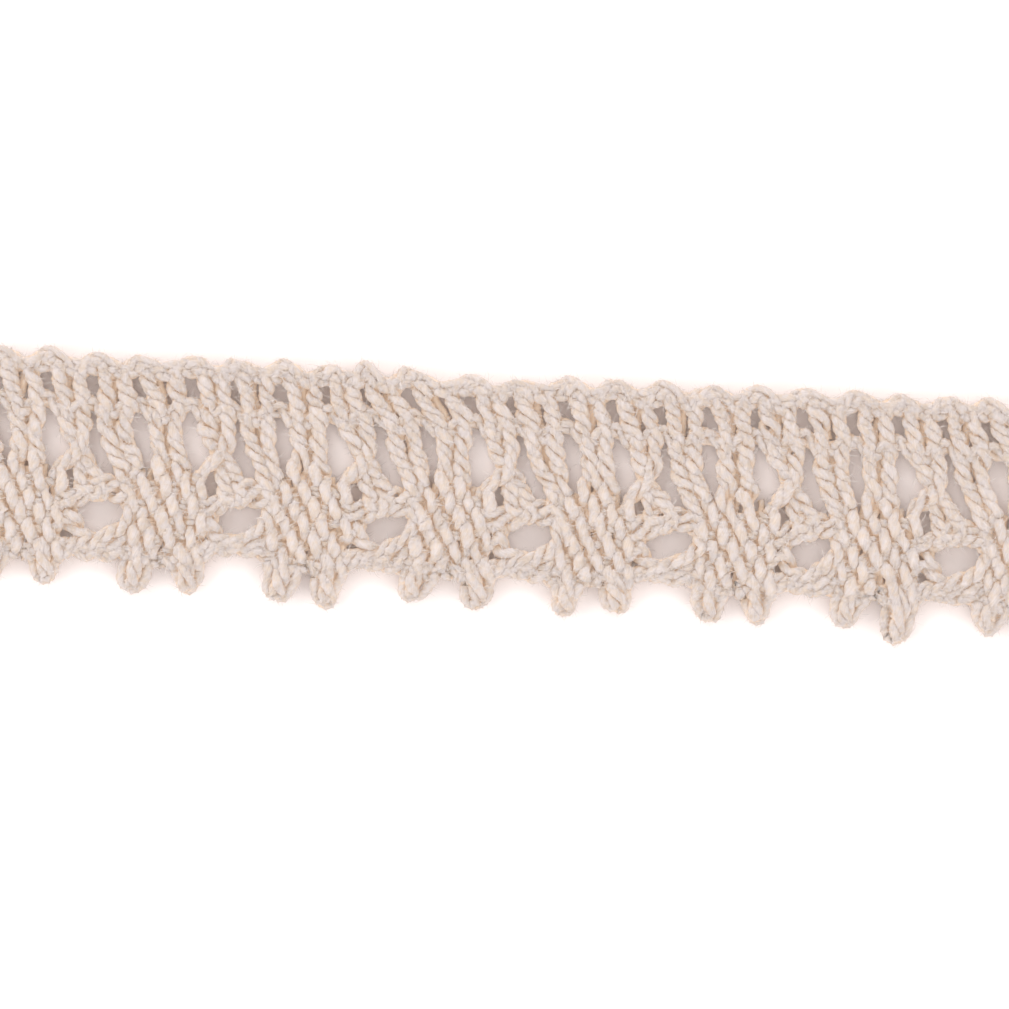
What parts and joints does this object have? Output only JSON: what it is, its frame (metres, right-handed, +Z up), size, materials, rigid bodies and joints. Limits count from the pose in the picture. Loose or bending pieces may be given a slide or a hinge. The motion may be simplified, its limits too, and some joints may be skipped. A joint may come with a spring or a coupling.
{
  "type": "lace edging",
  "caption": "Flat cut length of cream cotton lace edging with a scalloped upper edge, a pointed lower edge and open gaps between its fans.",
  "frame": {"origin": "centre of the bounding box, on the surface that the lace lies on", "axes": "+X along the strip, +Y across it towards the scalloped edge, +Z up from the surface"},
  "size_m": [0.1088, 0.0214, 0.0016],
  "materials": {
    "cotton": "matt cream cotton yarn, unbleached"
  },
  "bodies": {
    "root": {"lace": "cotton"}
  },
  "joints": []
}
